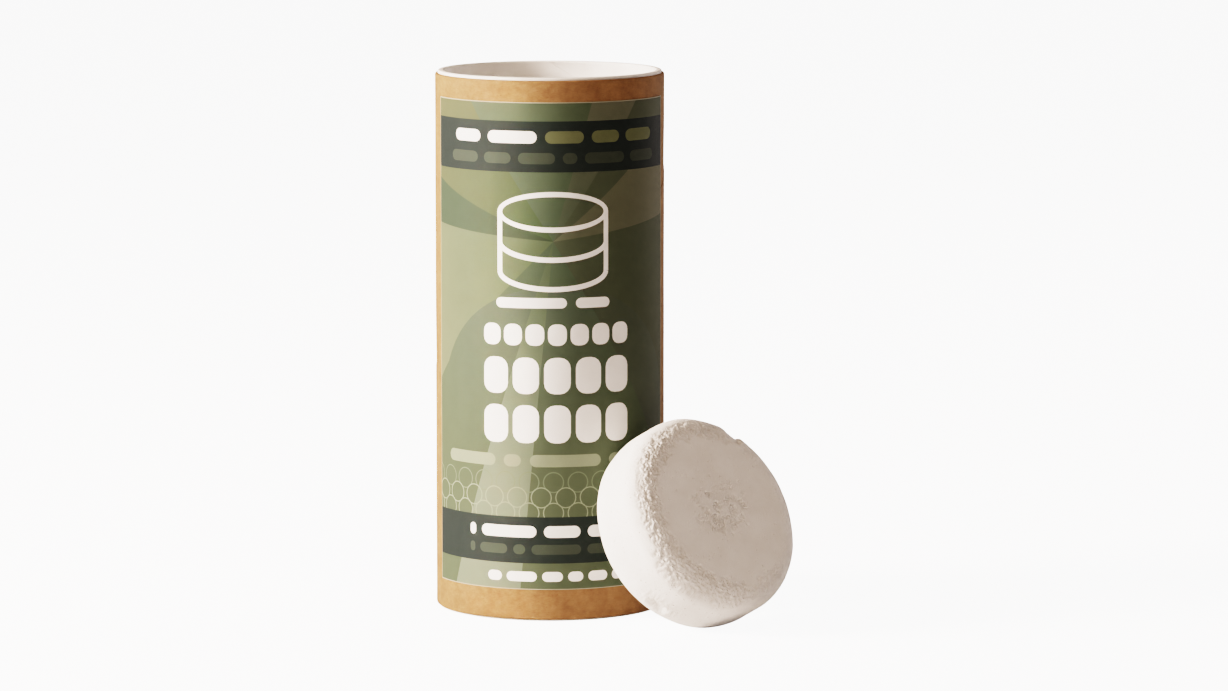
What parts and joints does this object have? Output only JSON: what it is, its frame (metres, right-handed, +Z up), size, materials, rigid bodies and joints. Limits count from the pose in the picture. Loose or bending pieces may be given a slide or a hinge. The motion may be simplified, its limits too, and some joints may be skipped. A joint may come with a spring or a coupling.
{
  "type": "gymnastics chalk disc set",
  "caption": "Open kraft-paper tube with a blank-printed front label, holding a stack of round pressed chalk discs, with another disc leaning against it; the discs lift out for gripping sports.",
  "frame": {"origin": "centre of the tube's flat underside, on the surface it stands on", "axes": "+Z up along the tube's axis to its open mouth, -Y towards the front label (its middle is turned 1.5 degrees towards +X), +X to the right seen from the front"},
  "size_m": [0.0929, 0.0901, 0.1411],
  "materials": {
    "kraft_paper": "matte",
    "kraft_board": "matte",
    "white_board": "matte",
    "white_paper": "satin",
    "label_print": "matte",
    "chalk": "matte"
  },
  "bodies": {
    "tube": {"kraft_wrap": "kraft_paper", "core_tube": "white_board", "white_lining": "white_paper", "base_board": "kraft_board", "base_lining": "white_paper", "front_label": "label_print"},
    "stacked_disc_1": {"stacked_disc_1": "chalk"},
    "stacked_disc_2": {"stacked_disc_2": "chalk"},
    "stacked_disc_3": {"stacked_disc_3": "chalk"},
    "stacked_disc_4": {"stacked_disc_4": "chalk"},
    "leaning_disc": {"leaning_disc": "chalk"}
  },
  "joints": [
    {"name": "lift_disc_1", "type": "slide", "parent": "tube", "child": "stacked_disc_1", "axis": [0, 0, 1], "range_m": [0, 0.14365]},
    {"name": "lift_disc_2", "type": "slide", "parent": "stacked_disc_1", "child": "stacked_disc_2", "axis": [0, 0, 1], "range_m": [0, 0.11945]},
    {"name": "lift_disc_3", "type": "slide", "parent": "stacked_disc_2", "child": "stacked_disc_3", "axis": [0, 0, 1], "range_m": [0, 0.09525]},
    {"name": "lift_disc_4", "type": "slide", "parent": "stacked_disc_3", "child": "stacked_disc_4", "axis": [0, 0, 1], "range_m": [0, 0.07105]},
    {"name": "lift_leaning_disc", "type": "slide", "parent": "tube", "child": "leaning_disc", "axis": [0, 0, 1], "range_m": [0, 0.14615]}
  ]
}
